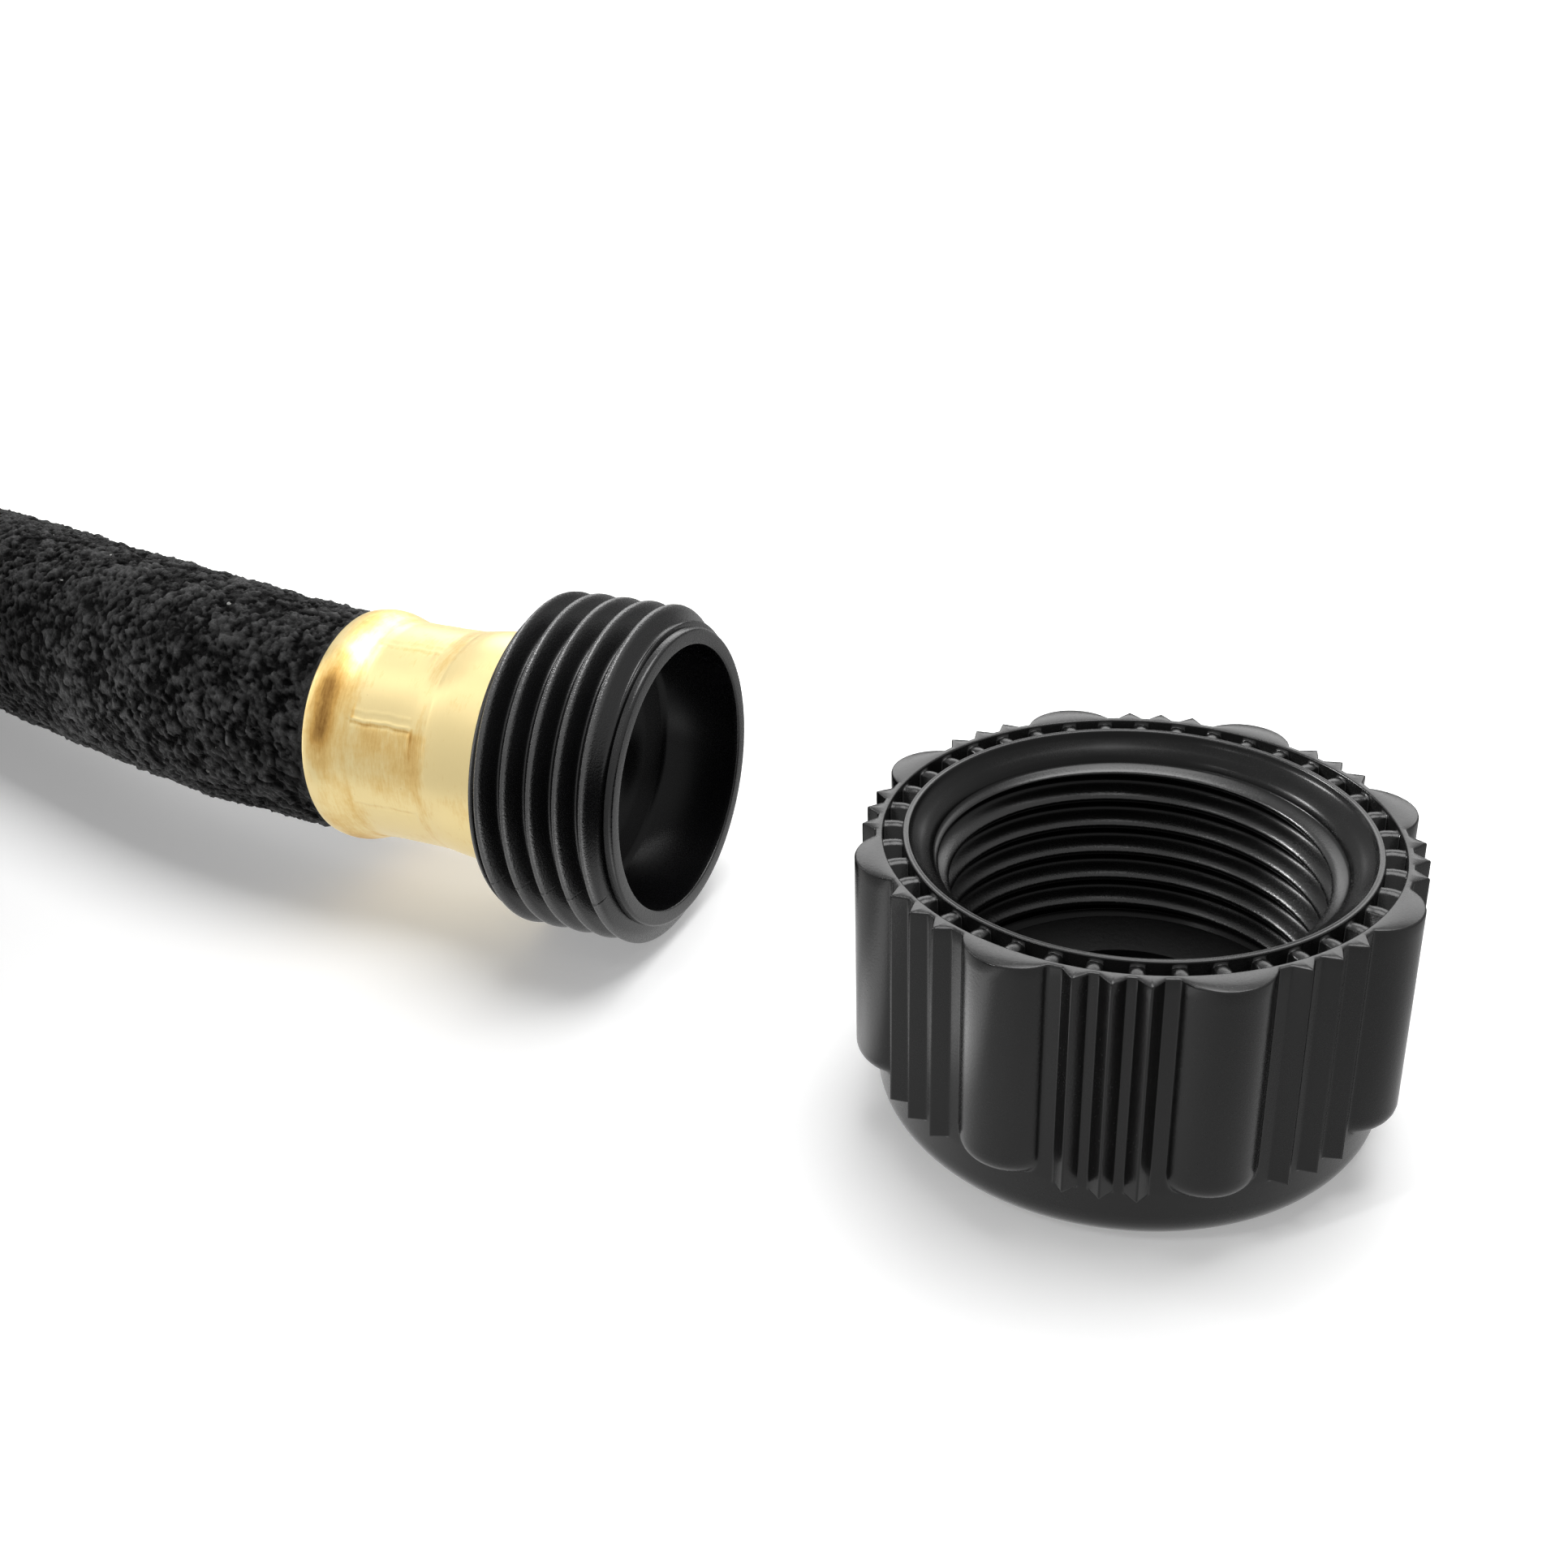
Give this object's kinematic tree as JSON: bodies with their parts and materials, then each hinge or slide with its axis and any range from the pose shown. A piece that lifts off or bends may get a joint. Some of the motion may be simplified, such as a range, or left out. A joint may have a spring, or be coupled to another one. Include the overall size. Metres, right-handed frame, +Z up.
{
  "type": "soaker hose",
  "caption": "Black porous soaker hose put away in a round pile of turns, with a brass-crimped threaded outlet, a swivel-nut inlet and a loose ribbed end cap standing mouth up before the outlet.",
  "frame": {"origin": "on the outlet's axis, where its full thread starts, 1.2 mm behind the outlet's mouth", "axes": "+X out of the outlet, +Z up, at right angles to the flat surface that everything lies on"},
  "size_m": [0.3517, 0.2827, 0.1176],
  "materials": {
    "porous_rubber": "matte, open crumb surface",
    "ferrule_brass": "thin drawn sheet, lightly tarnished",
    "coupling_plastic": "satin",
    "grip_plastic": "satin to semi-gloss",
    "washer_rubber": "smooth"
  },
  "bodies": {
    "hose": {"hose_run": "porous_rubber", "hose_coil": "porous_rubber", "hose_tail": "porous_rubber", "outlet_hose_end": "porous_rubber", "inlet_hose_end": "porous_rubber", "outlet_ferrule": "ferrule_brass", "inlet_ferrule": "ferrule_brass", "outlet_coupling": "coupling_plastic", "inlet_stem": "coupling_plastic", "flow_restrictor": "coupling_plastic"},
    "inlet_nut": {"inlet_nut": "grip_plastic", "inlet_washer": "washer_rubber"},
    "end_cap": {"end_cap": "grip_plastic", "cap_washer": "washer_rubber"}
  },
  "joints": [
    {"name": "inlet_nut_spin", "type": "hinge", "parent": "hose", "child": "inlet_nut", "pos_m": [-0.272, -0.1401, 0.08495], "axis": [0, -1, 0], "continuous": true},
    {"name": "cap_lift", "type": "slide", "parent": "hose", "child": "end_cap", "axis": [0, 0, 1], "range_m": [0, 0.06]}
  ]
}
